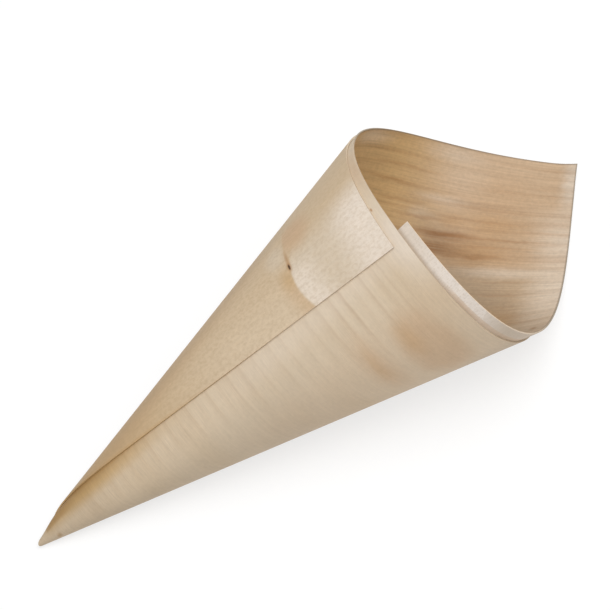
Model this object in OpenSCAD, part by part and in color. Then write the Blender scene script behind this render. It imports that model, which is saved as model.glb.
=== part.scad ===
// Food cone rolled from one sheet of wood veneer.
// The flat sheet is described about the point that becomes the cone's apex: a point of the sheet
// has a distance from the apex and a sheet angle. Winding turns the sheet angle into an azimuth
// round the cone's axis, so every straight line through the apex stays a straight ruling.
// Lengths are in millimetres and angles in degrees.

/* [Sheet] */
// Thickness of the veneer
veneer_t = 0.42; // [0.3:0.02:0.8]
// Distance from the apex to the sheet's long lower edge
edge_offset = 5.3; // [4.5:0.1:8]
// Height of the sheet above its lower edge, measured on its middle line
sheet_h = 124; // [100:0.5:160]
// Lower edge from the middle line to the inner end
inner_run = 132.5; // [110:0.5:165]
// Lower edge from the middle line to the outer end
outer_run = 126; // [110:0.5:160]
// Lean of the inner end's cut, outward at the top
inner_lean = -2.6; // [-5:0.1:5]
// Lean of the outer end's cut, outward at the top
outer_lean = -0.85; // [-5:0.05:5]
// Rise of the upper edge's cut towards the inner end
top_rise = 0.6; // [-3:0.1:3]

/* [Roll] */
// Mean half-angle of the cone
half_angle = 13.85; // [12:0.05:16]
// Space left between one turn and the next
turn_gap = 0.06; // [0.05:0.01:0.3]
// Oval: swing of the half-angle, two waves a turn
oval = 1.2; // [0:0.1:2.5]
// Azimuth at which the oval is widest
oval_at = 75.7; // [0:0.1:180]
// Egg shape: swing of the half-angle, three waves a turn
egg = 0.34; // [0:0.02:0.8]
// Azimuth at which the egg shape is widest
egg_at = 102.6; // [0:0.1:120]
// Squareness: swing of the half-angle, four waves a turn
squareness = 0.16; // [0:0.02:0.5]
// Azimuth at which the squareness is widest
squareness_at = 61.1; // [0:0.1:90]

/* [Tip] */
// Length of the tongue that the lower edge runs out into at the tip
nib_len = 3.5; // [0:0.1:3.8]
// Sheet angle at which the tongue is longest
nib_at = 100; // [90:1:104]
// Sheet angle from there to the tongue's ends
nib_spread = 74; // [40:1:74]
// Share of the section's width that is pressed out of it at the apex
pinch = 0.62; // [0:0.02:0.7]
// Height above the apex at which the pressing begins
pinch_reach = 10.5; // [8:0.5:25]
// Azimuth of the wall that the tip is pressed against
pinch_at = 111; // [0:1:359]

/* [Rest] */
// Azimuth of the ruling on which the cone lies
rest_at = 176; // [0:0.5:359.5]
// Azimuth over which the wall is flat there, pressed so by lying
flat_spot = 14; // [4:0.5:24]

/* [Hidden] */
wood = [0.85, 0.74, 0.58];

// Largest azimuth between neighbouring rulings
ruling_step = 4;
// Steps of the table that follows the winding
wind_step = 1;
// Rows of points across the part of a ruling that lies near the lower edge
low_rows = 5;
// Length of that part
low_reach = 1.2*pinch_reach;
// Grading that draws those rows together towards the lower edge
low_grading = 1.5;

turn_pitch = veneer_t + turn_gap;
waves = [[2, oval, oval_at], [3, egg, egg_at], [4, squareness, squareness_at]];

function total(list) = list*[for (value = list) 1];

// Ruling at one azimuth: its half-angle, how that changes, its direction and the outward direction
function alpha(a) = half_angle + total([for (w = waves) w[1]*cos(w[0]*(a - w[2]))]);
function alpha_rate(a) = -PI/180*total([for (w = waves) w[0]*w[1]*sin(w[0]*(a - w[2]))]);
function ruling(a) = let (h = alpha(a)) [sin(h)*cos(a), sin(h)*sin(a), cos(h)];
function outward(a) = let (h = alpha(a)) [cos(h)*cos(a), cos(h)*sin(a), -sin(h)];
function unit(v) = v/norm(v);

// Corners of the flat sheet, from the inner end's foot round to the outer end's foot
function meet(p, u, q, v) = p + u*cross(q - p, v)/cross(u, v);
middle_top = [0, edge_offset + sheet_h];
top_run = [cos(top_rise), sin(top_rise)];
inner_foot = [inner_run, edge_offset];
outer_foot = [-outer_run, edge_offset];
inner_top = meet(inner_foot, [sin(inner_lean), cos(inner_lean)], middle_top, top_run);
outer_top = meet(outer_foot, [-sin(outer_lean), cos(outer_lean)], middle_top, top_run);
corners = [inner_foot, inner_top, outer_top, outer_foot];
corner_angle = [for (p = corners) atan2(p.y, p.x)];

// Where the line at one sheet angle leaves the sheet, at its upper and its lower edges
function edge_hit(f, p, q) = cross(p, q - p)/cross([cos(f), sin(f)], q - p);
function upper_side(f) = f <= corner_angle[1] ? 0 : f <= corner_angle[2] ? 1 : 2;
function upper_reach(f) = let (k = upper_side(f)) edge_hit(f, corners[k], corners[k + 1]);
function nib(f) = nib_len*pow(cos(90*min(1, abs(f - nib_at)/nib_spread)), 2);
function lower_reach(f) = edge_offset/sin(f) - nib(f);

// Winding table: azimuth against the sheet angle used up so far
function wind_rate(a) = norm([alpha_rate(a), sin(alpha(a))]);
sheet_end = corner_angle[3] + 1;
winding = [
    for (a = 0, f = 0; f < sheet_end; f = f + wind_step*wind_rate(a + wind_step/2), a = a + wind_step) [a, f]
];
unwinding = [for (w = winding) [w[1], w[0]]];
corner_azimuth = [for (f = corner_angle) lookup(f, unwinding)];

// The flat spot's two sides in every turn that has them
first_azimuth = corner_azimuth[0];
last_azimuth = corner_azimuth[3];
spot_sides = [
    for (turn = [0 : floor(last_azimuth/360)], side = [-0.5, 0.5])
        let (a = rest_at + 360*turn + flat_spot*side)
            if (a > first_azimuth && a < last_azimuth) a
];
function in_spot(a) = cos(a - rest_at) > cos(flat_spot/2);

// Azimuths of the rulings, with one at each corner of the sheet and at each side of the flat spot
function sorted(list) =
    len(list) == 0 ? [] : concat(
        sorted([for (v = list) if (v < list[0]) v]),
        list[0],
        sorted([for (v = list) if (v > list[0]) v])
    );
breaks = sorted(concat(corner_azimuth, spot_sides));
azimuths = [
    for (k = [0 : len(breaks) - 2])
        let (
            span = breaks[k + 1] - breaks[k],
            steps = in_spot(breaks[k] + span/2) ? 1 : ceil(span/ruling_step)
        )
            for (i = [0 : steps - 1]) breaks[k] + span*i/steps,
    last_azimuth
];

// Distances from the apex of the points along one ruling
function distances(a) =
    let (
        f = lookup(a, winding),
        low = lower_reach(f),
        high = upper_reach(f),
        reach = min(low_reach, (high - low)/2)
    )
    [for (j = [0 : low_rows]) low + reach*pow(j/low_rows, low_grading), high];

// The tip's sections shrink towards the outer face of the wall that they are pressed against
pinch_out = turn_pitch*(pinch_at + 360)/360 + veneer_t/2;
function pressed(p) =
    let (
        keep = 1 - pinch*pow(max(0, 1 - p.z/pinch_reach), 2),
        wall = (p.z*tan(alpha(pinch_at)) + pinch_out)*[cos(pinch_at), sin(pinch_at)],
        section = wall + keep*([p.x, p.y] - wall)
    )
    [section.x, section.y, p.z];

// Point of the wound sheet, with side -0.5 on its inner face and 0.5 on its outer face
function wound(a, r, side) = pressed(r*ruling(a) + (turn_pitch*a/360 + veneer_t*side)*outward(a));
wound_points = [for (side = [-0.5, 0.5], a = azimuths, r = distances(a)) wound(a, r, side)];

// Lying frame: the flat spot of the outermost turn is level and faces the floor, with X along it
under = rest_at + 360*floor((last_azimuth - rest_at)/360);
under_sides = [for (side = [-0.5, 0.5]) under + flat_spot*side];
under_high = [for (a = under_sides) wound(a, distances(a)[low_rows + 1], 0.5)];
under_low = [for (a = under_sides) wound(a, distances(a)[low_rows], 0.5)];
lie_x = unit(under_high[0] + under_high[1] - under_low[0] - under_low[1]);
lie_z = -unit(cross(under_high[1] - under_high[0], lie_x));
lie_y = cross(lie_z, lie_x);
lying = [for (p = wound_points) [lie_x, lie_y, lie_z]*p];
low_corner = [for (k = [0 : 2]) min([for (p = lying) p[k]])];
high_corner = [for (k = [0 : 2]) max([for (p = lying) p[k]])];
floor_centre = [(low_corner.x + high_corner.x)/2, (low_corner.y + high_corner.y)/2, low_corner.z];

// Faces between neighbouring rulings. The first and last rulings are the sheet's feet, one point each.
row_count = low_rows + 2;
last_row = row_count - 1;
last_ruling = len(azimuths) - 1;
function index(face, i, j) =
    (face*len(azimuths) + i)*row_count + (i == 0 || i == last_ruling ? 0 : j);
function halves(q) = [[q[0], q[1], q[2]], [q[0], q[2], q[3]]];
function whole(t) = t[0] != t[1] && t[1] != t[2] && t[2] != t[0];
inner_quads = [
    for (i = [0 : last_ruling - 1], j = [0 : last_row - 1])
        [index(0, i, j), index(0, i + 1, j), index(0, i + 1, j + 1), index(0, i, j + 1)]
];
outer_quads = [
    for (i = [0 : last_ruling - 1], j = [0 : last_row - 1])
        [index(1, i, j), index(1, i, j + 1), index(1, i + 1, j + 1), index(1, i + 1, j)]
];
lower_quads = [
    for (i = [0 : last_ruling - 1])
        [index(0, i, 0), index(1, i, 0), index(1, i + 1, 0), index(0, i + 1, 0)]
];
upper_quads = [
    for (i = [0 : last_ruling - 1])
        [index(0, i, last_row), index(0, i + 1, last_row), index(1, i + 1, last_row), index(1, i, last_row)]
];
sheet_faces = [
    for (q = concat(inner_quads, outer_quads, lower_quads, upper_quads), t = halves(q)) if (whole(t)) t
];

// The whole cone: one sheet wound just over two turns, lying on its long side
module veneer_cone() {
    color(wood)
        translate(-floor_centre)
            polyhedron(points = lying, faces = sheet_faces);
}

veneer_cone();
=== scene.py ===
from math import cos, radians, sin, tan

import bpy
import numpy as np
from mathutils import Matrix, Vector


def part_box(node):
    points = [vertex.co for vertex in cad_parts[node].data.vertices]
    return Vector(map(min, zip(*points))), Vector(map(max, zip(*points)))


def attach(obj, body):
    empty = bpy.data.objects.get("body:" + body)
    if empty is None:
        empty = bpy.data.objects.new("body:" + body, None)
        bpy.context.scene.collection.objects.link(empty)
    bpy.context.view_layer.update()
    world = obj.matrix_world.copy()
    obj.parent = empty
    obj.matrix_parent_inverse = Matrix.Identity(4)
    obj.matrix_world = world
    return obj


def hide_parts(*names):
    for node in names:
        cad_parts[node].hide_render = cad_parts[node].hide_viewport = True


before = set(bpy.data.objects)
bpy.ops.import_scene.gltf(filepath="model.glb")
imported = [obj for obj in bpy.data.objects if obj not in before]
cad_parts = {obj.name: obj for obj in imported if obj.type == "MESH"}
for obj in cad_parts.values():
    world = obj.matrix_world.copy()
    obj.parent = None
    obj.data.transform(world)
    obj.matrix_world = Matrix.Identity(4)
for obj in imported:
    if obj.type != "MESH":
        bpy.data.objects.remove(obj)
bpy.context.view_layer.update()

# Lengths of the sheet are in millimetres, as they were cut, and become metres when the mesh is made.
MM = 0.001
TURN = radians(360)

# Flat sheet, described about the point that becomes the apex of the cone
VENEER_T = 0.42
EDGE_OFFSET = 5.3
SHEET_H = 124.0
INNER_RUN = 132.5
OUTER_RUN = 126.0
INNER_LEAN = radians(-2.6)
OUTER_LEAN = radians(-0.85)
TOP_RISE = radians(0.6)

# Roll: mean half-angle, and waves of it round the axis as (waves a turn, swing, azimuth)
HALF_ANGLE = radians(13.85)
TURN_GAP = 0.06
TURN_PITCH = VENEER_T + TURN_GAP
WAVES = (
    (2, radians(1.2), radians(75.7)),
    (3, radians(0.34), radians(102.6)),
    (4, radians(0.16), radians(61.1)),
)

# Tip: tongue of the lower edge, and pressing of the sections against one wall
NIB_LEN = 3.5
NIB_AT = radians(100)
NIB_SPREAD = radians(74)
PINCH = 0.62
PINCH_REACH = 10.5
PINCH_AT = radians(111)
PINCH_OUT = TURN_PITCH*(PINCH_AT + TURN)/TURN + VENEER_T/2
LOW_REACH = 1.2*PINCH_REACH

# Rest: the ruling that the cone lies on, and the flat spot along it, whose sides are softened
REST_AT = radians(176)
FLAT_SPOT = radians(14)
SPOT_SOFTNESS = radians(3)
SPOT_SHIFTS = (-1.0, -0.5, 0.0, 0.5, 1.0)

# Loose edges: how far the flap's long edge and the front rim stand off the turn below, over what width,
# and the azimuths where that begins and ends
FLAP_LIFT = 0.01
FLAP_LIFT_WIDTH = 7.0
FLAP_LIFT_FROM = 1.7*TURN
FLAP_LIFT_GROWTH = radians(40)
RIM_LIFT = 0.01
RIM_LIFT_WIDTH = 5.0
RIM_LIFT_FROM = 0.9*TURN
RIM_LIFT_TO = 1.35*TURN
RIM_LIFT_GROWTH = radians(30)

# Rounding of the cut edges
EDGE_ROUND = 0.06

# Peak: the corner of the first turn curls inward
CURL = 1.6
CURL_REACH = 8.0

# Fineness of the mesh
COLUMN_STEP = radians(1.6)
ROWS = 84
ROW_GRADING = 0.72
WIND_STEP = radians(0.25)
WIND_REACH = 2.2*TURN
SHARP_ANGLE = radians(40)


def half_angle(a):
    return HALF_ANGLE + sum(swing*np.cos(n*(a - at)) for n, swing, at in WAVES)


def half_angle_rate(a):
    return -sum(n*swing*np.sin(n*(a - at)) for n, swing, at in WAVES)


def ruling(a):
    h = half_angle(a)
    return np.stack((np.sin(h)*np.cos(a), np.sin(h)*np.sin(a), np.cos(h)), -1)


def outward(a):
    h = half_angle(a)
    return np.stack((np.cos(h)*np.cos(a), np.cos(h)*np.sin(a), -np.sin(h)), -1)


def cross2(p, q):
    return p[0]*q[1] - p[1]*q[0]


def meet(p, u, q, v):
    """Where the line from p along u crosses the line from q along v."""
    return p + u*cross2(q - p, v)/cross2(u, v)


# Corners of the sheet, from the inner end's foot round to the outer end's foot
INNER_FOOT = np.array((INNER_RUN, EDGE_OFFSET))
OUTER_FOOT = np.array((-OUTER_RUN, EDGE_OFFSET))
MIDDLE_TOP = np.array((0.0, EDGE_OFFSET + SHEET_H))
TOP_RUN = np.array((cos(TOP_RISE), sin(TOP_RISE)))
INNER_TOP = meet(INNER_FOOT, np.array((sin(INNER_LEAN), cos(INNER_LEAN))), MIDDLE_TOP, TOP_RUN)
OUTER_TOP = meet(OUTER_FOOT, np.array((-sin(OUTER_LEAN), cos(OUTER_LEAN))), MIDDLE_TOP, TOP_RUN)
CORNERS = (INNER_FOOT, INNER_TOP, OUTER_TOP, OUTER_FOOT)
CORNER_ANGLE = [float(np.arctan2(p[1], p[0])) for p in CORNERS]

# Winding table: azimuth against the sheet angle used up so far
WIND_AZIMUTH = np.arange(0, WIND_REACH, WIND_STEP)
WIND_MIDDLE = WIND_AZIMUTH[:-1] + WIND_STEP/2
WIND_RATE = np.hypot(half_angle_rate(WIND_MIDDLE), np.sin(half_angle(WIND_MIDDLE)))
WIND_ANGLE = np.concatenate(((0.0,), np.cumsum(WIND_RATE*WIND_STEP)))
CORNER_AZIMUTH = np.interp(CORNER_ANGLE, WIND_ANGLE, WIND_AZIMUTH)
LAST_AZIMUTH = CORNER_AZIMUTH[3]


def upper_reach(f):
    """Distance from the apex to the sheet's upper edges, at sheet angles f."""
    reach = np.zeros_like(f)
    for k in range(3):
        p, q = CORNERS[k], CORNERS[k + 1]
        run = q - p
        hit = cross2(p, run)/(np.cos(f)*run[1] - np.sin(f)*run[0])
        here = (f >= CORNER_ANGLE[k]) & (f <= CORNER_ANGLE[k + 1])
        reach = np.where(here, hit, reach)
    return reach


def lower_reach(f):
    """Distance from the apex to the sheet's lower edge, with the tongue at the tip."""
    part = np.minimum(1, np.abs(f - NIB_AT)/NIB_SPREAD)
    return EDGE_OFFSET/np.sin(f) - NIB_LEN*np.cos(part*radians(90))**2


def flattening(a):
    """Share of the radius by which the flat spot lies inside the round wall."""
    total = 0.0
    for k in SPOT_SHIFTS:
        off = np.abs((a - REST_AT + k*SPOT_SOFTNESS + TURN/2) % TURN - TURN/2)
        inside = 1 - cos(FLAT_SPOT/2)/np.cos(np.minimum(off, FLAT_SPOT/2))
        total = total + np.where(off < FLAT_SPOT/2, inside, 0.0)
    return total/len(SPOT_SHIFTS)


def fade(distance, width):
    """1 at no distance, falling softly to 0 at the width."""
    return np.clip(1 - distance/width, 0, 1)**2


def edge_lift(a, x, y, top_gap):
    """Stand-off of the flap's long edge and of the front rim, and the inward curl of the peak."""
    on_flap = np.clip((a - FLAP_LIFT_FROM)/FLAP_LIFT_GROWTH, 0, 1)
    flap = FLAP_LIFT*fade(y - EDGE_OFFSET, FLAP_LIFT_WIDTH)*on_flap
    past_start = np.clip((a - RIM_LIFT_FROM)/RIM_LIFT_GROWTH, 0, 1)
    before_end = np.clip((RIM_LIFT_TO - a)/RIM_LIFT_GROWTH, 0, 1)
    rim = RIM_LIFT*fade(top_gap, RIM_LIFT_WIDTH)*past_start*before_end
    peak = CURL*fade(np.hypot(x - INNER_TOP[0], y - INNER_TOP[1]), CURL_REACH)
    return flap + rim - peak


def above_rim(a, r):
    """How far points of the first turn lie above the second turn's rim, or far below where it has none."""
    over = a + TURN
    f = np.interp(over, WIND_AZIMUTH, WIND_ANGLE)
    return np.where(over < CORNER_AZIMUTH[2], r - upper_reach(f), -SHEET_H)


def pressed(p):
    """The tip's sections shrink towards the outer face of the wall that they are pressed against."""
    keep = 1 - PINCH*np.maximum(0, 1 - p[..., 2]/PINCH_REACH)**2
    slope = tan(float(half_angle(np.array(PINCH_AT))))
    out = p.copy()
    for k, way in enumerate((cos(PINCH_AT), sin(PINCH_AT))):
        wall = (p[..., 2]*slope + PINCH_OUT)*way
        out[..., k] = wall + keep*(p[..., k] - wall)
    return out


def wound(a, r, side):
    """Points of the wound sheet, not yet laid down. Side is -0.5 on the inner face and 0.5 on the outer."""
    f = np.interp(a, WIND_AZIMUTH, WIND_ANGLE)
    top_gap = upper_reach(f) - r
    stand_off = TURN_PITCH*a/TURN + VENEER_T*side + edge_lift(a, r*np.cos(f), r*np.sin(f), top_gap)
    stand_off = stand_off - flattening(a)*r*np.sin(half_angle(a))
    return pressed(r[..., None]*ruling(a) + stand_off[..., None]*outward(a))


def lying_axes():
    """Axes of the lying frame: the flat spot of the outermost turn faces the floor, with X along it."""
    under = REST_AT + TURN*np.floor((LAST_AZIMUTH - REST_AT)/TURN)
    a = under + FLAT_SPOT*np.array((-0.5, 0.5))
    f = np.interp(a, WIND_AZIMUTH, WIND_ANGLE)
    half = np.full(2, 0.5)
    high = wound(a, upper_reach(f), half)
    low = wound(a, lower_reach(f) + LOW_REACH, half)
    x = Vector(high.sum(0) - low.sum(0)).normalized()
    z = -Vector(high[1] - high[0]).cross(x).normalized()
    return np.array((x, z.cross(x), z))


def columns():
    """Azimuths of the mesh's rulings, with one at each corner of the sheet."""
    parts = []
    for start, end in zip(CORNER_AZIMUTH[:-1], CORNER_AZIMUTH[1:]):
        steps = int(np.ceil((end - start)/COLUMN_STEP))
        parts.append(np.linspace(start, end, steps, endpoint=False))
    return np.concatenate((*parts, (LAST_AZIMUTH,)))


def tidy_face(corners):
    """Drops repeated corners, which the sheet's two feet give."""
    kept = [c for k, c in enumerate(corners) if c != corners[k - 1]]
    return kept if len(kept) > 2 else None


def veneer_mesh():
    """Points, places on the flat sheet, heights above the rim and faces of the wound sheet."""
    a = columns()
    f = np.interp(a, WIND_AZIMUTH, WIND_ANGLE)
    low, high = lower_reach(f), upper_reach(f)
    high[0], high[-1] = low[0], low[-1]
    v = np.linspace(0, 1, ROWS)
    graded = v - ROW_GRADING*np.sin(2*np.pi*v)/(2*np.pi)
    r = low[:, None] + (high - low)[:, None]*graded
    a2 = np.repeat(a[:, None], ROWS, 1)
    f2 = np.repeat(f[:, None], ROWS, 1)
    # Four layers of points: inner face, outer face, and the middles of the lower and upper cut edges
    faces_at = [(r, -0.5), (r, 0.5)]
    points = [wound(a2, rr, np.full_like(rr, side)) for rr, side in faces_at]
    sheet = [np.stack((r*np.cos(f2), r*np.sin(f2), np.full_like(r, 2*side)), -1) for _, side in faces_at]
    above = [above_rim(a2, r), above_rim(a2, r)]
    for row, way in ((0, -1), (ROWS - 1, 1)):
        edge_r = r[:, row] + way*EDGE_ROUND
        points.append(wound(a, edge_r, np.zeros_like(edge_r))[:, None])
        sheet.append(np.stack((edge_r*np.cos(f), edge_r*np.sin(f), np.zeros_like(f)), -1)[:, None])
        above.append(above_rim(a, edge_r))
    count, last = len(a), len(a) - 1
    face_size = count*ROWS
    starts = (0, face_size, 2*face_size, 2*face_size + count)

    def index(layer, i, j):
        return starts[layer] + i*ROWS + (0 if i in (0, last) else j)

    def middle(layer, i):
        return starts[layer] + i

    faces = []
    for i in range(last):
        for j in range(ROWS - 1):
            faces.append((index(0, i, j), index(0, i + 1, j), index(0, i + 1, j + 1), index(0, i, j + 1)))
            faces.append((index(1, i, j), index(1, i, j + 1), index(1, i + 1, j + 1), index(1, i + 1, j)))
        top = ROWS - 1
        faces.append((index(0, i, 0), middle(2, i), middle(2, i + 1), index(0, i + 1, 0)))
        faces.append((middle(2, i), index(1, i, 0), index(1, i + 1, 0), middle(2, i + 1)))
        faces.append((index(0, i, top), index(0, i + 1, top), middle(3, i + 1), middle(3, i)))
        faces.append((middle(3, i), middle(3, i + 1), index(1, i + 1, top), index(1, i, top)))
    # The feet are ends of the cut edges too
    for i in (0, last):
        ring = (index(0, i, 0), middle(3, i), index(1, i, 0), middle(2, i))
        faces.append(ring if i == 0 else ring[::-1])
    faces = [t for t in map(tidy_face, faces) if t]
    flat = np.concatenate([p.reshape(-1, 3) for p in points])@lying_axes().T
    marks = np.concatenate([s.reshape(-1, 3) for s in sheet])
    heights = np.concatenate([h.ravel() for h in above])
    used = np.unique(np.concatenate([np.array(t) for t in faces]))
    renumber = np.full(len(flat), -1)
    renumber[used] = np.arange(len(used))
    faces = [[int(renumber[c]) for c in t] for t in faces]
    return flat[used]*MM, marks[used], heights[used], faces


def make_veneer():
    """The wound sheet as a mesh that stands where the solid stands."""
    places, marks, heights, faces = veneer_mesh()
    low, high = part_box("veneer_cone")
    middle = (places.min(0) + places.max(0))/2
    shift = ((low.x + high.x)/2 - middle[0], (low.y + high.y)/2 - middle[1], low.z - places[:, 2].min())
    places = places + np.array(shift)
    mesh = bpy.data.meshes.new("veneer_sheet")
    mesh.from_pydata(places.tolist(), [], faces)
    mesh.attributes.new("sheet", "FLOAT_VECTOR", "POINT").data.foreach_set("vector", marks.ravel())
    mesh.attributes.new("above_rim", "FLOAT", "POINT").data.foreach_set("value", heights)
    mesh.polygons.foreach_set("use_smooth", np.ones(len(mesh.polygons), bool))
    mesh.set_sharp_from_angle(angle=SHARP_ANGLE)
    mesh.validate()
    veneer = bpy.data.objects.new("veneer_sheet", mesh)
    bpy.context.scene.collection.objects.link(veneer)
    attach(veneer, "root")
    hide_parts("veneer_cone")
    return veneer


class Graph:
    """Adds shader nodes to one material and links them."""

    def __init__(self, tree):
        self.tree = tree
        self.tree.nodes.clear()

    def put(self, socket, value):
        if isinstance(value, bpy.types.NodeSocket):
            self.tree.links.new(value, socket)
        else:
            socket.default_value = value

    def add(self, kind, inputs=(), **settings):
        node = self.tree.nodes.new(kind)
        for name, value in settings.items():
            setattr(node, name, value)
        for name, value in dict(inputs).items():
            self.put(node.inputs[name], value)
        return node

    def math(self, operation, a, b=0.0):
        return self.add("ShaderNodeMath", {0: a, 1: b}, operation=operation).outputs[0]

    def line(self, value, slope, start):
        """start + slope*value"""
        return self.add("ShaderNodeMath", {0: value, 1: slope, 2: start}, operation="MULTIPLY_ADD").outputs[0]

    def between(self, share, low, high):
        """low where the share is 0 and high where it is 1."""
        return self.line(share, high - low, low)

    def total(self, *values):
        sum_so_far = values[0]
        for value in values[1:]:
            sum_so_far = self.math("ADD", sum_so_far, value)
        return sum_so_far

    def times(self, *values):
        product = values[0]
        for value in values[1:]:
            product = self.math("MULTIPLY", product, value)
        return product

    def most(self, *values):
        largest = values[0]
        for value in values[1:]:
            largest = self.math("MAXIMUM", largest, value)
        return largest

    def scaled(self, vector, scale):
        return self.add("ShaderNodeVectorMath", {0: vector, 1: scale}, operation="MULTIPLY").outputs[0]

    def noise(self, vector, scale, detail, roughness):
        inputs = {"Vector": self.scaled(vector, scale), "Scale": 1.0}
        inputs.update({"Detail": detail, "Roughness": roughness})
        return self.add("ShaderNodeTexNoise", inputs).outputs["Fac"]

    def smooth(self, value, start, end):
        """0 at start, 1 at end, with soft ends."""
        inputs = {"Value": value, "From Min": start, "From Max": end}
        return self.add("ShaderNodeMapRange", inputs, interpolation_type="SMOOTHSTEP").outputs[0]

    def band(self, value, start, full, wane, end):
        """Rises from start to full and falls again from wane to end."""
        return self.times(self.smooth(value, start, full), self.smooth(value, end, wane))

    def span(self, value, limits):
        """Mask of a span: with two limits it rises, and with four it rises and falls."""
        return self.smooth(value, *limits) if len(limits) == 2 else self.band(value, *limits)

    def blob(self, vector, centre, radii, core):
        """1 inside the core of an oval on the sheet, fading to 0 at its rim."""
        inputs = {0: vector, 1: (*centre, 0.0)}
        away = self.add("ShaderNodeVectorMath", inputs, operation="SUBTRACT").outputs[0]
        share = self.scaled(away, (1/radii[0], 1/radii[1], 0.0))
        length = self.add("ShaderNodeVectorMath", {0: share}, operation="LENGTH").outputs["Value"]
        return self.smooth(length, 1.0, core)

    def mix(self, factor, a, b, blend="MIX"):
        node = self.add("ShaderNodeMix", data_type="RGBA", blend_type=blend)
        self.put(node.inputs[0], factor)
        self.put(node.inputs[6], a)
        self.put(node.inputs[7], b)
        return node.outputs[2]

    def paint(self, colour, tint, *masks):
        return self.mix(self.times(*masks), colour, tint)

    def wash(self, colour, x, y, tint, along, across, depth):
        """Paints a tint over spans of the sheet. None stands for the whole length or width."""
        masks = [self.span(value, limits) for value, limits in ((x, along), (y, across)) if limits]
        return self.paint(colour, tint, *masks, depth)

    def patch(self, colour, vector, tint, centre, radii, depth, core=0.0, masks=()):
        """Paints a tint over an oval of the sheet."""
        return self.paint(colour, tint, self.blob(vector, centre, radii, core), *masks, depth)

    def shaded(self, colour, light):
        grey = self.add("ShaderNodeCombineColor", {0: light, 1: light, 2: light}).outputs[0]
        return self.mix(1.0, colour, grey, "MULTIPLY")

    def darker(self, colour, shade):
        """Takes a share off a colour's light."""
        return self.shaded(colour, self.line(shade, -1.0, 1.0))

    def lines(self, y, places, low, high):
        """Growth lines given as (place, depth): each darkens slowly up to its place and ends abruptly."""
        share = self.add("ShaderNodeMapRange", {"Value": y, "From Min": low, "From Max": high}).outputs[0]
        node = self.add("ShaderNodeValToRGB", {"Fac": share})
        stops = node.color_ramp.elements
        stops[0].position, stops[1].position = 0.0, 1.0
        stops[0].color = stops[1].color = (0, 0, 0, 1)
        for place, depth in places:
            for at, tone in ((place, depth), (place + LINE_FALL, 0.0)):
                stops.new((at - low)/(high - low)).color = (tone, tone, tone, 1)
        return self.math("POWER", node.outputs[0], LINE_POWER)


def srgb(r, g, b):
    """A colour as it looks on screen, made linear."""
    channels = [c/255 for c in (r, g, b)]
    return (*[c/12.92 if c <= 0.04045 else ((c + 0.055)/1.055)**2.4 for c in channels], 1.0)


# Growth lines as (place across the sheet, depth). Below LINES_MEET they are alike and evenly spaced.
LINE_FALL = 0.8
LINE_POWER = 2.6
LINES_LOW = 10
LINES_MEET = 71.9
LINES_HIGH = 131
LOW_LINES_FROM = 22
LOW_LINES_STEP = 3.5
LOW_LINES_COUNT = 15
LOW_LINES_DEPTHS = (0.75, 0.6)
LOW_LINES = [
    (LOW_LINES_FROM + LOW_LINES_STEP*k, LOW_LINES_DEPTHS[k % len(LOW_LINES_DEPTHS)])
    for k in range(LOW_LINES_COUNT)
]
HIGH_LINES = (
    (75, 0.8), (79.3, 0.7), (84.5, 0.7), (88.3, 0.7), (92.5, 0.6), (96.5, 0.65), (100.5, 0.8),
    (104.4, 0.85), (107.6, 1.0), (111, 0.65), (114, 0.9), (118, 0.7), (120, 0.8), (122.5, 0.6),
)

# Colours of the outer face
CREAM = srgb(217, 198, 172)
TAN = srgb(207, 184, 153)
LIGHT_TAN = tuple((a + b)/2 for a, b in zip(TAN, CREAM))
FLAP_CREAM = srgb(214, 197, 174)
FLAP_PALE = srgb(232, 218, 202)
FLAP_TAN = srgb(193, 164, 124)
WHITE_WOOD = srgb(236, 224, 212)
PINK_TAN = srgb(203, 172, 139)
ORANGE_TAN = srgb(199, 164, 124)
HONEY = srgb(192, 156, 102)
DARK_HONEY = srgb(160, 122, 72)
LINE_BROWN = srgb(166, 132, 96)
STRIP_TAN = srgb(206, 189, 169)
STRIP_SHADE = srgb(172, 152, 130)
BAND_TAN = srgb(206, 175, 142)
HALO = srgb(164, 112, 60)
KNOT = srgb(58, 34, 18)
# Colours of the inner face
IN_PINK = srgb(192, 164, 133)
IN_WARM = srgb(194, 160, 112)
IN_GREY = srgb(184, 160, 131)
IN_PALE = srgb(220, 205, 186)
IN_ORANGE = srgb(182, 143, 99)
IN_LIGHT = srgb(212, 178, 128)
IN_LINE = srgb(138, 92, 46)
# Colours of the cut edges
CUT_PALE = srgb(238, 215, 184)
CUT_TAN = srgb(226, 204, 174)
# Painted shade for the cut edge along the first turn's free edge
CUT_SHADE_BROWN = srgb(160, 145, 125)
CUT_DULL = srgb(196, 176, 150)
# Painted shade for the line just inside the first turn's free edge
FREE_EDGE_SHADE = srgb(118, 106, 92)

# Places on the sheet are millimetres: x along its long edges, from -126 at the outer end to 132 at the
# inner end, and y across it, from 5 at the lower edge to 130 at the upper edge.
# A span of two places says where a tone begins and where it is full. A span of four also says where it
# begins to wane and where it is gone. Some spans are of another measure, which their names give.
# A wash is (tint, span along, span across, depth).
# A patch is (tint, centre, radii, depth) and may end with its core, the share of the radii that is full.

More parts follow.
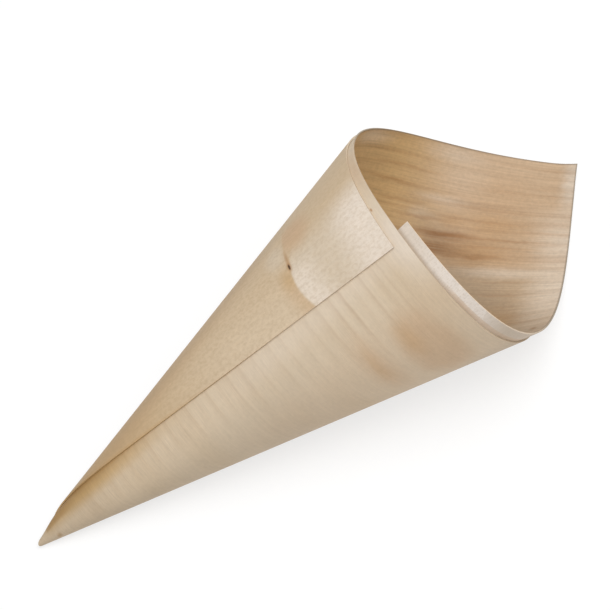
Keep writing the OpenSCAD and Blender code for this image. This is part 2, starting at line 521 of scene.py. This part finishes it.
# Inner face: base tones, pale wood by the short edge, growth lines, streaks, and shade deep in the cone
INNER_WARM_ALONG = (98, 74)
INNER_WASHES = ((IN_LIGHT, (74, 58), None, 0.8), (IN_GREY, None, (98, 92), 0.8))
INNER_ORANGE = (
    ((101, 100), (21, 8), 0.7), ((106, 109), (15, 8), 0.6), ((109, 119), (13, 8), 0.25),
    ((117, 77), (7, 4), 0.3), ((109, 77), (13, 8), 0.5), ((95, 109), (6, 3.5), 0.5),
)
INNER_PALE = (
    ((91, 114.5), (11, 2.4), 0.34), ((95, 122), (12, 7), 0.15), ((126.5, 125), (3.2, 9), 0.75),
    ((112, 94), (24, 3.0), 0.5), ((131, 104), (15, 10), 0.75), ((129, 86), (14, 18), 0.72),
    ((86, 109.8), (6, 2.8), 0.25), ((93, 128), (14, 4), 0.35), ((61, 128), (15, 4.5), 0.4),
)
SHORT_EDGE_WASHES = (
    (IN_PALE, (114, 125), (119, 111), 0.36),
    (STRIP_TAN, (121.5, 126.5), (110, 120), 0.7),
)
INNER_LINES_ALONG = (110, 126)
INNER_LINES_DEPTH = (0.11, 0.31)
INNER_DARK = (
    ((88, 100.2), (17, 3.0), 0.85), ((102, 98.6), (13, 1.4), 0.5), ((93, 104.7), (16, 2.2), 0.85),
    ((112, 104.6), (16, 0.7), 0.4), ((86, 108.6), (12, 1.2), 0.45), ((80, 112), (10, 1.2), 0.4),
    ((78, 116.8), (14, 1.0), 0.4), ((80, 121.4), (16, 0.8), 0.35), ((125.3, 69), (2.2, 1.6), 0.6),
    ((114, 91), (14, 0.6), 0.2), ((112, 86.6), (15, 0.9), 0.24),
)
INNER_DARK_STREAK = (0.2, 0.6)
INNER_BANDS = (0.42, 0.8)
INNER_BANDS_ACROSS = (92, 102)
INNER_BANDS_DEPTH = (0.14, 0.34)
DEEP_SUM = (208, 190)
DEEP_ALONG = (78, 94)
DEEP_SHADE = (0.03, 0.23)
BEHIND_ALONG = (84, 78)
BEHIND_ACROSS = (109, 102)
BEHIND_SHADE = 0.15
INNER_TONE = 0.74
INNER_STREAK_TONE = 0.38
INNER_FIGURE_TONE = 0.22


def inner_colour(g, loose, x, y, growth, streak, bands, figure):
    """Warm inner face: brown to one side, pale by the short edge, with soft streaks and a few strong ones."""
    colour = g.mix(g.span(x, INNER_WARM_ALONG), IN_PINK, IN_WARM)
    for wash in INNER_WASHES:
        colour = g.wash(colour, x, y, *wash)
    for spot in INNER_ORANGE:
        colour = g.patch(colour, loose, IN_ORANGE, *spot)
    for spot in INNER_PALE:
        colour = g.patch(colour, loose, IN_PALE, *spot)
    for wash in SHORT_EDGE_WASHES:
        colour = g.wash(colour, x, y, *wash)
    colour = g.paint(colour, IN_LINE, growth, g.between(g.span(x, INNER_LINES_ALONG), *INNER_LINES_DEPTH))
    streaky = g.span(streak, INNER_DARK_STREAK)
    for spot in INNER_DARK:
        colour = g.patch(colour, loose, IN_LINE, *spot, masks=(streaky,))
    bands_depth = g.between(g.span(y, INNER_BANDS_ACROSS), *INNER_BANDS_DEPTH)
    colour = g.paint(colour, IN_LINE, g.span(bands, INNER_BANDS), bands_depth)
    deep = g.times(g.span(g.total(x, y), DEEP_SUM), g.between(g.span(x, DEEP_ALONG), *DEEP_SHADE))
    behind_strip = g.times(g.span(y, BEHIND_ACROSS), g.span(x, BEHIND_ALONG), BEHIND_SHADE)
    colour = g.darker(colour, g.total(deep, behind_strip))
    return g.shaded(colour, g.total(
        g.line(streak, INNER_STREAK_TONE, INNER_TONE), g.times(figure, INNER_FIGURE_TONE)
    ))


# Flap: tan wood, then cream and white wood past a bowed growth line by the knot
FLAP_SLOPE = 0.6
FLAP_SPAN = (0, -8)
FLAP_LOW = (20, 8)
FLAP_TAN_WASH = (FLAP_TAN, (-82, -30), None, 0.9)
BOW_AT = -99.4
BOW_MIDDLE = 12.5
BOW_RATE = 0.028
KNOT_AT = (-100.0, 18.0)
PAST_KNOT_AT = -100.2
CREAM_FROM = -111.0
CREAM_RISE = 0.3
CREAM_PAST_BOW = (-0.4, 0.7)
CREAM_ACROSS = (27.0, 17.0)
CREAM_PALE_ALONG = (-111, -122)
WHITE_PAST_BOW = (-0.2, 0.7, 2.0, 10.0)
WHITE_ACROSS = (20, 13)
WHITE_DEPTH = 0.75
WARM_PAST_BOW = (-6.0, -1.0, -0.5, 0.3)
WARM_ACROSS = (22, 14)
WARM_DEPTH = 0.45
KNOT_PINK = (PINK_TAN, (-104, 27), (8, 8), 0.9, 0.25)
KNOT_PINK_PAST = (-0.2, 0.5)
KNOT_CREAM = (FLAP_CREAM, (-97, 23.5), (5, 6.5), 0.75, 0.2)
KNOT_CREAM_PAST = (0.1, -0.5)
KNOT_HONEY = (HONEY, (-98.2, 15), (3.5, 4.5), 0.35)
KNOT_HONEY_PAST_BOW = (0.3, -0.3)
KNOT_PATCHES = (
    (HALO, (-100.2, 20.5), (0.9, 5.0), 0.5),
    (HALO, KNOT_AT, (0.95, 2.0), 0.8),
    (KNOT, KNOT_AT, (0.42, 1.2), 1.0, 0.4),
)
GLUE_WASH = (HONEY, (-75, -30), (6.4, 5.3), 0.5)
# The flap turns away from the light along a line that slants across it, where painted shade makes it warmer
# and darker
TURNING_SLOPE = 0.4
TURNING_WARM_SHADE_SPAN = (-14, -6, -1, 6)
TURNING_WARM_SHADE_ALONG = (-98, -84)
TURNING_WARM_SHADE_DEPTH = 0.35
TURNING_SHADE_SPAN = (-12, -5, -1, 6)
TURNING_SHADE_ALONG = (-110, -90)
TURNING_SHADE = 0.1
FLAP_MOTTLE = (0.42, 0.64)
FLAP_MOTTLE_DEPTH = 0.2
FLAP_FIGURE_MEAN = 0.53
FLAP_FIGURE_ALONG = (-112, -96)
FLAP_FIGURE_DEPTH = (0.28, 0.42)


def flap_colour(g, sheet, x, y, figure):
    """Outer end of the sheet, with the knot and the white wood beside it."""
    bow = g.math("POWER", g.math("ABSOLUTE", g.math("SUBTRACT", y, BOW_MIDDLE)), 2.0)
    past_bow = g.math("SUBTRACT", g.line(bow, -BOW_RATE, BOW_AT), x)
    past_knot = g.math("SUBTRACT", PAST_KNOT_AT, x)
    colour = g.mix(g.span(y, FLAP_LOW), TAN, LIGHT_TAN)
    colour = g.wash(colour, x, y, *FLAP_TAN_WASH)
    rise = g.times(g.most(g.math("SUBTRACT", CREAM_FROM, x), 0.0), CREAM_RISE)
    cream = g.times(g.span(past_bow, CREAM_PAST_BOW), g.span(g.math("SUBTRACT", y, rise), CREAM_ACROSS))
    colour = g.paint(colour, g.mix(g.span(x, CREAM_PALE_ALONG), FLAP_CREAM, FLAP_PALE), cream)
    white = g.times(g.span(past_bow, WHITE_PAST_BOW), g.span(y, WHITE_ACROSS))
    colour = g.paint(colour, FLAP_PALE, white, WHITE_DEPTH)
    warm = g.times(g.span(past_bow, WARM_PAST_BOW), g.span(y, WARM_ACROSS))
    colour = g.paint(colour, ORANGE_TAN, warm, WARM_DEPTH)
    colour = g.patch(colour, sheet, *KNOT_PINK, masks=(g.span(past_knot, KNOT_PINK_PAST),))
    colour = g.patch(colour, sheet, *KNOT_CREAM, masks=(g.span(past_knot, KNOT_CREAM_PAST),))
    colour = g.patch(colour, sheet, *KNOT_HONEY, masks=(g.span(past_bow, KNOT_HONEY_PAST_BOW),))
    for spot in KNOT_PATCHES:
        colour = g.patch(colour, sheet, *spot)
    colour = g.wash(colour, x, y, *GLUE_WASH)
    # Painted shade where the flap turns from the light: a warm tint, then a darker share
    turning = g.total(y, g.times(x, TURNING_SLOPE))
    turning_warm_shade = g.times(g.span(turning, TURNING_WARM_SHADE_SPAN), g.span(x, TURNING_WARM_SHADE_ALONG))
    colour = g.paint(colour, ORANGE_TAN, turning_warm_shade, TURNING_WARM_SHADE_DEPTH)
    turning_shade = g.times(g.span(turning, TURNING_SHADE_SPAN), g.span(x, TURNING_SHADE_ALONG))
    colour = g.darker(colour, g.times(turning_shade, TURNING_SHADE))
    colour = g.paint(colour, FLAP_TAN, g.span(figure, FLAP_MOTTLE), FLAP_MOTTLE_DEPTH)
    depth = g.between(g.span(x, FLAP_FIGURE_ALONG), *FLAP_FIGURE_DEPTH)
    return g.darker(colour, g.times(g.math("SUBTRACT", figure, FLAP_FIGURE_MEAN), depth))


# Outer face of the turns: cream wood, growth lines that run out from the flap's edge, and two pink patches
FRONT_BROAD = (0.4, 0.75)
# Tan low on the front towards the tip: partly the wood's tone, partly painted warm shade
FRONT_LOW_WASH = (TAN, None, (80, 20), 0.55)
FRONT_RIM_PATCH = (FLAP_PALE, (-1, 128.5), (18, 7), 0.65)
RUN_FROM = 2.5
RUN_RATE = 0.37
RUN_START = -14.5
RUN_LEAST = 4.0
RUN_SHARE = (-1.0, 0.0)
FRONT_LINES_DEPTH = (0.04, 0.44)
FRONT_WASHES = ((FLAP_PALE, (-8, -2, 3, 6), (62, 80), 0.25), (PINK_TAN, (-8, -18), (55, 75), 0.2))
FRONT_PATCHES = (
    (PINK_TAN, (-28, 116.6), (17, 9.5), 0.7, 0.4),
    (ORANGE_TAN, (-21.5, 113.8), (9, 4.5), 0.6),
    (PINK_TAN, (-23, 103), (17, 5.5), 0.55, 0.1),
    (ORANGE_TAN, (-22.5, 102.5), (9, 2.4), 0.45),
    (PINK_TAN, (24, 128.5), (14, 2.5), 0.6),
)
RIM_MARK = (HALO, (10, 126.9), (0.8, 0.45), 0.8)
# Honey-coloured wood at the tip, darker towards its side and end: partly the wood's own colour, partly
# painted shade where the tip turns from the light
TIP_ACROSS = (62, 18)
TIP_END = (4, 8)
TIP_HONEY_ALONG = (-1.6, 1.9)
TIP_HONEY_DEPTH = 0.9
TIP_DARK_ALONG = (1.2, 4.2)
TIP_DARK_DEPTH = 0.8
TIP_LEAN = (0.02, 0.11)
TIP_LEAN_ACROSS = (5, 7, 12, 18)
TIP_LEAN_DEPTH = 0.5
TIP_MARK = (DARK_HONEY, (-1.9, 8.2), (1.1, 1.2), 0.55)
# Painted shade: darker low on the front, on the underside and at the tip
LOW_ALONG = (-70, -35, -12, -3)
LOW_ACROSS = (104, 70)
LOW_NEAR_TIP = (60, 20)
LOW_SHADE = (0.09, 0.14)
UNDER_ALONG = (-90, -54, -50, -38)
UNDER_SHADE = 0.15
TIP_SHADE_ACROSS = (36, 14)
TIP_SHADE = 0.11


def front_colour(g, sheet, loose, x, y, growth, broad):
    """Outer face of the turns: growth lines near the flap, two pink patches, honey at the tip and painted
    shade low down.
    """
    colour = g.mix(g.span(broad, FRONT_BROAD), CREAM, LIGHT_TAN)
    # Tan towards the tip: partly the wood's tone, partly painted warm shade
    colour = g.wash(colour, x, y, *FRONT_LOW_WASH)
    colour = g.patch(colour, sheet, *FRONT_RIM_PATCH)
    run_out = g.most(g.line(y, RUN_RATE, RUN_START), RUN_LEAST)
    run = g.math("DIVIDE", g.total(x, RUN_FROM), run_out)
    colour = g.paint(colour, LINE_BROWN, growth, g.between(g.span(run, RUN_SHARE), *FRONT_LINES_DEPTH))
    for wash in FRONT_WASHES:
        colour = g.wash(colour, x, y, *wash)
    for spot in FRONT_PATCHES:
        colour = g.patch(colour, loose, *spot)
    colour = g.patch(colour, sheet, *RIM_MARK)
    # Honey at the tip: partly the wood's own colour, partly painted shade
    tip = g.times(g.span(y, TIP_ACROSS), g.span(y, TIP_END))
    colour = g.paint(colour, HONEY, g.span(x, TIP_HONEY_ALONG), tip, TIP_HONEY_DEPTH)
    colour = g.paint(colour, DARK_HONEY, g.span(x, TIP_DARK_ALONG), tip, TIP_DARK_DEPTH)
    leaning = g.times(g.span(g.math("DIVIDE", x, y), TIP_LEAN), g.span(y, TIP_LEAN_ACROSS))
    colour = g.paint(colour, DARK_HONEY, leaning, TIP_LEAN_DEPTH)
    colour = g.patch(colour, sheet, *TIP_MARK)
    # Painted shade low on the front, on the underside and by the tip
    low_shade = g.between(g.span(y, LOW_NEAR_TIP), *LOW_SHADE)
    low = g.times(g.span(x, LOW_ALONG), g.span(y, LOW_ACROSS), low_shade)
    under = g.times(g.span(x, UNDER_ALONG), UNDER_SHADE)
    return g.darker(colour, g.total(low, under, g.times(g.span(y, TIP_SHADE_ACROSS), TIP_SHADE)))


# Strip of the first turn above the front rim: white wood up to a slanted growth line, darker by the rim
STRIP_SLOPE = 0.46
STRIP_START = -60.1
STRIP_WHITE = ((36.4, 35.8), 0.3)
STRIP_FADE = ((46, 35), 0.7)
STRIP_LOW_ACROSS = (24, 8)
STRIP_LOW_DEPTH = 0.5
STRIP_SPECKLE = (0.48, 0.66)
STRIP_SPECKLE_DEPTH = 0.35
RIM_SHADE_ABOVE = (1.5, 0.0)
RIM_SHADE_ACROSS = (44, 30)
RIM_SHADE_DEPTH = 0.65
STRIP_ALONG = (117, 122)
RIM_BAND_ABOVE = (0.05, 0.25, 1.2, 1.5)
RIM_BAND_ACROSS = (20, 30)
RIM_BAND_ALONG = (90, 100)
RIM_BAND_DEPTH = 0.5


def strip_colour(g, colour, x, y, above, speckle):
    """Strip of the first turn above the front rim: white wood that ends at a growth line."""
    slant = g.total(y, g.line(x, STRIP_SLOPE, STRIP_START))
    white = g.total(*[g.times(g.span(slant, limits), share) for limits, share in (STRIP_WHITE, STRIP_FADE)])
    wood = g.mix(white, STRIP_TAN, WHITE_WOOD)
    wood = g.paint(wood, STRIP_TAN, g.span(y, STRIP_LOW_ACROSS), STRIP_LOW_DEPTH)
    wood = g.paint(wood, STRIP_TAN, g.span(speckle, STRIP_SPECKLE), STRIP_SPECKLE_DEPTH)
    rim_shade = g.times(g.span(above, RIM_SHADE_ABOVE), g.span(y, RIM_SHADE_ACROSS))
    wood = g.paint(wood, STRIP_SHADE, rim_shade, RIM_SHADE_DEPTH)
    colour = g.paint(colour, wood, g.span(x, STRIP_ALONG))
    band = g.times(g.span(above, RIM_BAND_ABOVE), g.span(y, RIM_BAND_ACROSS), g.span(x, RIM_BAND_ALONG))
    return g.paint(colour, BAND_TAN, band, RIM_BAND_DEPTH)


# Cut edges, and painted shade along the free edge of the first turn: a darker line just inside it and a brown
# cut edge
FREE_ALONG = (30, 50)
FREE_ACROSS = (50, 75)
FREE_EDGE_SHADE_GAP = (0.5, 0.1)
FREE_EDGE_SHADE_DEPTH = 0.6
INNER_CUT_ALONG = (60, 100)
STRIP_CUT_WASH = (STRIP_TAN, INNER_CUT_ALONG, (36, 48), 0.8)
OUTER_CUT_ALONG = (-122, -124)
UPPER_CUT_ACROSS = (90, 110)
CUT_WASHES = (
    (FLAP_CREAM, OUTER_CUT_ALONG, (28, 45), 0.9),
    (HONEY, (-100, -70, -8, -2), (60, 20), 0.9),
)


def edge_colour(g, colour, x, y, outer, cut):
    """Cut edges of the veneer: pale at the inner end, dull at the upper edge and honey along the flap, with
    painted shade along the first turn's free edge.
    """
    top_gap = g.math("SUBTRACT", g.line(x, tan(TOP_RISE), MIDDLE_TOP[1]), y)
    end_gap = g.math("SUBTRACT", g.line(y, tan(INNER_LEAN), INNER_RUN - EDGE_OFFSET*tan(INNER_LEAN)), x)
    free = g.times(g.span(y, FREE_ACROSS), g.span(x, FREE_ALONG))
    by_edge = g.span(g.math("MINIMUM", top_gap, end_gap), FREE_EDGE_SHADE_GAP)
    # Painted shade: a darker line just inside the first turn's free edge
    colour = g.paint(colour, FREE_EDGE_SHADE, by_edge, free, g.math("SUBTRACT", 1.0, outer), FREE_EDGE_SHADE_DEPTH)
    edge = g.mix(g.span(x, INNER_CUT_ALONG), CUT_TAN, CUT_PALE)
    edge = g.wash(edge, x, y, *STRIP_CUT_WASH)
    dull = g.most(g.span(x, OUTER_CUT_ALONG), g.span(y, UPPER_CUT_ACROSS))
    edge = g.mix(dull, edge, CUT_DULL)
    for wash in CUT_WASHES:
        edge = g.wash(edge, x, y, *wash)
    # Painted shade: the cut edge along the free edge is browner
    return g.paint(colour, g.mix(free, edge, CUT_SHADE_BROWN), cut)


# Noise of the wood's figure as (waves a millimetre along, across and through the sheet, detail, roughness)
STREAK_NOISE = ((0.035, 1.7, 2.0), 4.0, 0.6)
FIBRE_NOISE = ((0.16, 4.5, 2.0), 2.0, 0.6)
BANDS_NOISE = ((0.016, 0.42, 5.0), 3.0, 0.55)
FIGURE_NOISE = ((0.85, 1.1, 2.0), 3.0, 0.65)
CLOUD_NOISE = ((0.16, 0.4, 2.0), 3.0, 0.6)
SPECKLE_NOISE = ((1.3, 1.9, 2.0), 2.0, 0.6)
BROAD_NOISE = ((0.02, 0.06, 2.0), 2.0, 0.5)
WANDER_NOISE = ((0.025, 0.05, 0.0), 1.0, 0.5)
RIPPLE_NOISE = ((0.2, 0.4, 0.0), 3.0, 0.5)
PATCHY_NOISE = ((0.03, 0.2, 1.0), 2.0, 0.55)
# How far growth lines wander across, and how far the outlines of loose patches ripple along and across
WANDER = 0.6
RIPPLE = 2.5
RIPPLE_ACROSS = 0.4
PATCHY_SPAN = (0.3, 0.6)
PATCHY_DEPTH = (0.65, 1.0)
# Which face and which edge a point lies on: the mark is -1 on the inner face and 1 on the outer
OUTER_SIDE = (-0.2, 0.2)
CUT_SIDE = (0.98, 0.85)
# Tones that the figure gives to the whole sheet, with a comb of fibres by the flap's edge near the tip
COMB_ALONG = (-7, -2.5, 0.5, 3)
COMB_ACROSS = (90, 50)
FIBRE_DEPTH = (0.15, 0.37)
FLAP_FIBRE_DEPTH = -0.05
SHEET_TONE = 0.80
FIGURE_TONE = 0.16
STREAK_TONE = 0.12
CLOUD_TONE = 0.12
# Surface: relief in metres, gloss and roughness
FIGURE_RELIEF = 0.8
RELIEF_STRENGTH = 0.35
RELIEF_DEPTH = 0.0001
ROUGHNESS = (0.52, 0.72)
SPECULAR = 0.3


def veneer_material():
    material = bpy.data.materials.new("veneer")
    material.use_nodes = True
    g = Graph(material.node_tree)
    sheet = g.add("ShaderNodeAttribute", attribute_name="sheet").outputs["Vector"]
    above = g.add("ShaderNodeAttribute", attribute_name="above_rim").outputs["Fac"]
    x, y, side = g.add("ShaderNodeSeparateXYZ", {0: sheet}).outputs
    outer = g.span(side, OUTER_SIDE)
    cut = g.span(g.math("ABSOLUTE", side), CUT_SIDE)

    # Figure of the wood: streaks along the fibres, mottle, and slow drifts of tone
    streak = g.noise(sheet, *STREAK_NOISE)
    fibre = g.noise(sheet, *FIBRE_NOISE)
    bands = g.noise(sheet, *BANDS_NOISE)
    figure = g.noise(sheet, *FIGURE_NOISE)
    cloud = g.noise(sheet, *CLOUD_NOISE)
    speckle = g.noise(sheet, *SPECKLE_NOISE)
    broad = g.noise(sheet, *BROAD_NOISE)
    ripple = g.between(g.noise(sheet, *RIPPLE_NOISE), -RIPPLE, RIPPLE)
    drift = g.add("ShaderNodeCombineXYZ", {0: ripple, 1: g.times(ripple, RIPPLE_ACROSS)}).outputs[0]
    loose = g.add("ShaderNodeVectorMath", {0: sheet, 1: drift}, operation="ADD").outputs[0]

    # Growth lines, which wander across the sheet and are fainter in places
    line_y = g.total(y, g.between(g.noise(sheet, *WANDER_NOISE), -WANDER, WANDER))
    low_lines = g.lines(line_y, LOW_LINES, LINES_LOW, LINES_MEET)
    high_lines = g.lines(line_y, HIGH_LINES, LINES_MEET, LINES_HIGH)
    patchy = g.between(g.span(g.noise(sheet, *PATCHY_NOISE), PATCHY_SPAN), *PATCHY_DEPTH)
    growth = g.times(g.total(low_lines, high_lines), patchy)

    on_flap = g.span(g.total(y, g.times(x, FLAP_SLOPE)), FLAP_SPAN)
    colour = front_colour(g, sheet, loose, x, y, growth, broad)
    colour = g.mix(on_flap, colour, flap_colour(g, sheet, x, y, figure))
    colour = strip_colour(g, colour, x, y, above, speckle)
    colour = g.mix(outer, inner_colour(g, loose, x, y, growth, streak, bands, figure), colour)

    comb = g.times(g.span(y, COMB_ACROSS), g.span(x, COMB_ALONG))
    fibre_depth = g.total(g.between(comb, *FIBRE_DEPTH), g.times(on_flap, FLAP_FIBRE_DEPTH))
    fibre_tone = g.times(g.math("SUBTRACT", fibre, 0.5), fibre_depth)
    figure_tone = g.line(figure, FIGURE_TONE, SHEET_TONE)
    tones = g.total(fibre_tone, figure_tone, g.times(streak, STREAK_TONE), g.times(cloud, CLOUD_TONE))
    colour = edge_colour(g, g.shaded(colour, tones), x, y, outer, cut)

    relief = g.math("SUBTRACT", g.total(fibre, g.times(figure, FIGURE_RELIEF)), growth)
    bump = g.add("ShaderNodeBump", {"Height": relief, "Strength": RELIEF_STRENGTH, "Distance": RELIEF_DEPTH})
    shader = g.add("ShaderNodeBsdfPrincipled", {
        "Base Color": colour,
        "Roughness": g.between(fibre, *ROUGHNESS),
        "Normal": bump.outputs[0],
        "Specular IOR Level": SPECULAR,
    })
    output = g.add("ShaderNodeOutputMaterial")
    g.put(output.inputs["Surface"], shader.outputs[0])
    return material


# Camera: the point that it aims at, its place from there, its roll and its field of view
CAMERA_AIM = Vector((0.00027, 0.00285, 0.02809))
CAMERA_DISTANCE = 0.626
CAMERA_ELEVATION = radians(56.13)
CAMERA_AZIMUTH = radians(-106.70)
CAMERA_ROLL = radians(-17.86)
CAMERA_FIELD = radians(14.421)
CAMERA_NEAR = 0.01


def make_camera():
    back = Vector((
        cos(CAMERA_ELEVATION)*cos(CAMERA_AZIMUTH),
        cos(CAMERA_ELEVATION)*sin(CAMERA_AZIMUTH),
        sin(CAMERA_ELEVATION),
    ))
    level = Vector((0, 0, 1)).cross(back).normalized()
    lift = back.cross(level)
    right = level*cos(CAMERA_ROLL) + lift*sin(CAMERA_ROLL)
    up = back.cross(right)
    data = bpy.data.cameras.new("camera")
    data.angle = CAMERA_FIELD
    data.clip_start = CAMERA_NEAR
    camera = bpy.data.objects.new("camera", data)
    turn = Matrix((right, up, back)).transposed().to_4x4()
    camera.matrix_world = Matrix.Translation(CAMERA_AIM + back*CAMERA_DISTANCE) @ turn
    bpy.context.scene.collection.objects.link(camera)
    bpy.context.scene.camera = camera


def area_light(name, place, aim, size, power):
    data = bpy.data.lights.new(name, "AREA")
    data.shape = "DISK"
    data.size = size
    data.energy = power
    lamp = bpy.data.objects.new(name, data)
    lamp.location = place
    lamp.rotation_euler = (Vector(place) - Vector(aim)).to_track_quat("Z", "Y").to_euler()
    bpy.context.scene.collection.objects.link(lamp)


# Floor: its colour as the object meets it, and where it is seen directly a share of shade on a white ground
FLOOR_SIZE = 6.0
FLOOR_DROP = 0.0001
FLOOR_COLOUR = (0.85, 0.85, 0.85, 1)
FLOOR_SHADE = (0.30, 0.30, 0.30, 1)
FLOOR_WHITE = 0.72
# Light: an even white surround, and one broad lamp above
WORLD_COLOUR = (1, 1, 1, 1)
WORLD_STRENGTH = 0.45
KEY_AIM = (0, 0, 0)
KEY_PLACE = (0.31, -0.15, 1.2)
KEY_SIZE = 1.2
KEY_POWER = 11.1


def seen_directly(g):
    """1 for what the picture, a mirror or clear glass shows, and 0 for light on its way to matt surfaces."""
    path = g.add("ShaderNodeLightPath").outputs
    return g.most(path["Is Camera Ray"], path["Is Glossy Ray"], path["Is Transmission Ray"])


def make_stage():
    half = FLOOR_SIZE/2
    mesh = bpy.data.meshes.new("floor")
    corners = [(-half, -half, 0), (half, -half, 0), (half, half, 0), (-half, half, 0)]
    mesh.from_pydata(corners, [], [(0, 1, 2, 3)])
    floor = bpy.data.objects.new("floor", mesh)
    floor.location.z = -FLOOR_DROP
    bpy.context.scene.collection.objects.link(floor)
    material = bpy.data.materials.new("floor")
    material.use_nodes = True
    g = Graph(material.node_tree)
    plain = g.add("ShaderNodeBsdfDiffuse", {"Color": FLOOR_COLOUR}).outputs[0]
    shade = g.add("ShaderNodeBsdfDiffuse", {"Color": FLOOR_SHADE}).outputs[0]
    white = g.add("ShaderNodeEmission", {"Strength": FLOOR_WHITE}).outputs[0]
    shown = g.add("ShaderNodeAddShader", {0: shade, 1: white}).outputs[0]
    ground = g.add("ShaderNodeMixShader", {0: seen_directly(g), 1: plain, 2: shown}).outputs[0]
    g.put(g.add("ShaderNodeOutputMaterial").inputs["Surface"], ground)
    mesh.materials.append(material)

    world = bpy.data.worlds.new("studio")
    bpy.context.scene.world = world
    world.use_nodes = True
    g = Graph(world.node_tree)
    strength = g.line(seen_directly(g), 1 - WORLD_STRENGTH, WORLD_STRENGTH)
    light = g.add("ShaderNodeBackground", {"Color": WORLD_COLOUR, "Strength": strength})
    g.put(g.add("ShaderNodeOutputWorld").inputs["Surface"], light.outputs[0])
    area_light("key", KEY_PLACE, KEY_AIM, KEY_SIZE, KEY_POWER)


veneer = make_veneer()
veneer.data.materials.append(veneer_material())
make_camera()
make_stage()
bpy.context.scene.view_settings.view_transform = "Standard"


bpy.context.view_layer.update()
